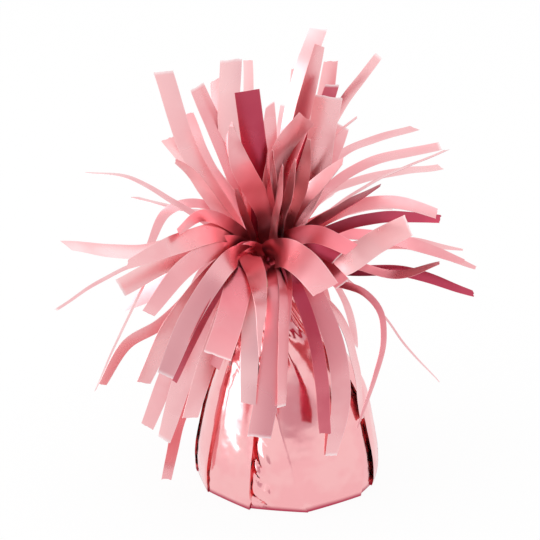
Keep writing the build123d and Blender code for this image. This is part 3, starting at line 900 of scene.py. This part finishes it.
# Tone, under and fade here add painted shade and painted highlight too, strip by strip.
SPREAD_TRAITS = {
    0: dict(tone=1.0, wide=0.8, point=0.3),
    1: dict(tone=0.25, under=0.6, wide=0.7, point=0.6),
    14: dict(tone=0.15, wide=0.5),
    16: dict(skew=-40, tone=0, point=0.4),
    17: dict(tone=-0.15, fade=0.25, frayed=True, point=0),
    18: dict(tone=0.1, point=0.6, skew=30),
    19: dict(tone=0.3, wide=0.55, point=0.5),
    20: dict(tone=0.15),
    21: dict(tone=0.25, fade=1.0, frayed=True, open=0.6, wide=1.2, point=0),
    22: dict(tone=0.4, wide=0.6),
    23: dict(tone=0.15, open=0.5, wide=1.0, point=0.9, taper=0.45),
    24: dict(tone=0.24, open=0.5, wide=1.3, point=0.1),
    25: dict(tone=0.5),
    26: dict(tone=0.95),
    27: dict(tone=0.5),
    28: dict(tone=1.1, wide=1.1, point=0.7, taper=0.75),
    29: dict(tone=-0.1, open=0.6, wide=1.05, frayed=True, point=0.1),
    30: dict(tone=0.35, wide=0.55, point=0.7),
    31: dict(tone=0.2),
}
spread = fringe("spread", SPREAD, SPREAD_TRAITS, layer=1, bend=4 * MM, reach=0.8, flare=14 * MM, seed=22)


# The skirt: the outer sheet's strips, again of the same film. They bend over the band at once and hang
# down round the body, and the longest reach almost to its foot.
SKIRT = (
    (-10, 80, 80, (340, 275), (388, 321), (405, 345), (440, 382)),
    (1, 60, 40, (340, 250), (410, 245), (476, 268)),
    (8, 75, 78, (340, 262), (400, 274), (470, 295)),
    (18, 60, 50, (340, 246), (400, 240), (463, 250)),
    (28, 24, -40, 60, 10), (20, 40, -42, 50, -15), (12, 44, -36, 60, 15), (2, 46, -44, 50, -10),
    (-8, 45, -38, 60, 15), (-18, 42, -45, 50, -10), (-28, 38, -40, 60, 10), (-36, 30, -45, 50, -15),
    (24, -40, -20, (215, 245), (175, 265), (142, 296)),
    (13, -30, -20, (215, 250), (165, 285), (121, 308)),
    (2, 75, 80, (225, 250), (150, 275), (137, 299), (95, 391)),
    (-13, -75, -78, (215, 254), (125, 268), (55, 310)),
    (-7, 0, 0, (235, 275), (180, 350), (147, 427)),
    (-19, 50, 60, (222, 267), (160, 325), (127, 345), (103, 385)),
    (-14, 50, 50, (236, 284), (195, 380), (181, 415), (166, 480)),
    (-20, 30, 0, (232, 282), (190, 360), (164, 440)),
    (-38, 40, 40, (225, 262), (175, 320), (143, 383)),
    (-48, 20, 10, (228, 262), (190, 318), (165, 376)),
    (-46, 62, 55, (234, 264), (217, 295), (196, 335), (174, 382)),
    (-42, 40, 40, (238, 286), (208, 360), (190, 418)),
    (-40, 10, 20, (254, 286), (251, 330), (248, 404)),
    (-41, 0, 0, (280, 284), (277, 330), (268, 390), (259, 438)),
    (-40, 50, 50, (284, 288), (284, 340), (282, 407)),
    (-34, 50, 45, (292, 278), (313, 335), (321, 380), (325, 434)),
    (-25, 0, 0, (318, 302), (336, 350), (341, 400), (331, 456)),
    (-26, 50, 70, (330, 280), (365, 293), (381, 313), (384, 338), (375, 378), (357, 428)),
    (-14, 60, 70, (312, 286), (340, 320), (355, 365), (362, 420)),
    (-16, 50, 45, (335, 268), (408, 272), (474, 294)),
)
# Tone, under and fade here add painted shade and painted highlight too, strip by strip.
SKIRT_TRAITS = {
    0: dict(wide=0.6, point=0.7),
    1: dict(tone=0.15, under=0.7, wide=0.65, point=0.7),
    2: dict(tone=0.15, under=0.4, wide=0.55, point=0.6),
    3: dict(tone=0.1, under=0.3, wide=0.6, point=0.8),
    12: dict(tone=0, frayed=True),
    14: dict(tone=-0.1, wide=0.4, point=0.6),
    17: dict(tone=0.05, under=0),
    20: dict(tone=0.05, under=0),
    21: dict(tone=0.05, frayed=True, wide=0.9),
    22: dict(tone=0.75, open=0.7, wide=0.6),
    24: dict(tone=-0.15, fade=0.25, open=0.6),
    25: dict(tone=0.2, open=0.5, wide=1.08, point=0.05),
    26: dict(tone=0.2, wide=0.7),
    27: dict(tone=0.7, open=0.5, wide=0.9),
    28: dict(tone=0.12, open=0.6),
    29: dict(tone=0.4, wide=0.6, point=0.6),
    31: dict(tone=0.9, under=0, wide=0.7, point=0.5),
}
skirt = fringe("skirt", SKIRT, SKIRT_TRAITS, layer=0, bend=3 * MM, reach=0.55, flare=12 * MM, seed=23)


# The studio: a white sweep under the weight, a tall soft panel on the left, a softer one overhead and
# a dim front behind the camera.
FLOOR_HALF = 4
FLOOR_GLOW = 0.93
DIM_WAY = (0.3, -0.93, 0.2)
DIM_COLOUR = (0.66, 0.50, 0.55, 1)
WHITE = (1, 1, 1, 1)
corners = [(-FLOOR_HALF, -FLOOR_HALF, 0), (FLOOR_HALF, -FLOOR_HALF, 0)]
corners += [(FLOOR_HALF, FLOOR_HALF, 0), (-FLOOR_HALF, FLOOR_HALF, 0)]
floor_mesh = bpy.data.meshes.new("floor")
floor_mesh.from_pydata(corners, [], [(0, 1, 2, 3)])
floor = bpy.data.objects.new("floor", floor_mesh)
bpy.context.collection.objects.link(floor)
sweep_white, tree = start_finish("sweep_white")
shown_to = ("Is Camera Ray", "Is Glossy Ray", "Is Transmission Ray")
camera_ray, glossy_ray, clear_ray = [tree.node("LightPath", output=name) for name in shown_to]
paper = tree.node("BsdfDiffuse", {}, {"Color": (0.9, 0.9, 0.9, 1)})
glow = tree.node("Emission", {}, {"Color": WHITE, "Strength": 1.0})
seen = (camera_ray + glossy_ray + clear_ray) * FLOOR_GLOW
tree.node("OutputMaterial", {}, {"Surface": tree.node("MixShader", {}, {0: seen, 1: paper, 2: glow})})
floor_mesh.materials.append(sweep_white)

world = bpy.data.worlds.new("studio")
world.use_nodes = True
world.node_tree.nodes.clear()
bpy.context.scene.world = world
tree = Wire(world.node_tree)
direction = tree.node("TexCoord", output=0)
towards = tree.node("VectorMath", {"operation": "DOT_PRODUCT"}, {0: direction, 1: DIM_WAY}, output=1)
dim_front = towards.between(0.82, 0.99)
sky = tree.node("Background", {}, {"Color": dim_front.blend(WHITE, DIM_COLOUR), "Strength": 1.0})
tree.node("OutputWorld", {}, {"Surface": sky})


def soft_panel(name, place, size, aim, brightness):
    """A soft box: a lamp of a given brightness seen face on, turned to a point."""
    lamp = bpy.data.lights.new(name, "AREA")
    lamp.shape = "RECTANGLE"
    lamp.size, lamp.size_y = size
    lamp.energy = brightness * np.pi * size[0] * size[1]
    panel = bpy.data.objects.new(name, lamp)
    way = np.array(aim, float) - np.array(place, float)
    panel.location = place
    panel.rotation_euler = (np.arctan2(np.hypot(way[0], way[1]), -way[2]), 0, np.arctan2(-way[0], way[1]))
    bpy.context.collection.objects.link(panel)


soft_panel("left_panel", place=(-0.7, -0.25, 0.24), size=(0.75, 0.5), aim=(0, 0, 0.06), brightness=1.9)
soft_panel("top_panel", place=(-0.1, 0.25, 0.9), size=(0.8, 0.6), aim=(0, 0, 0.08), brightness=0.5)

camera_data = bpy.data.cameras.new("camera")
camera_data.lens = VIEW_LENS
camera_data.sensor_width = VIEW_SENSOR
camera = bpy.data.objects.new("camera", camera_data)
camera.location = view_place
camera.rotation_euler = (np.pi / 2 - VIEW_ELEVATION, 0, 0)
bpy.context.collection.objects.link(camera)
bpy.context.scene.camera = camera
bpy.context.scene.view_settings.view_transform = "Standard"
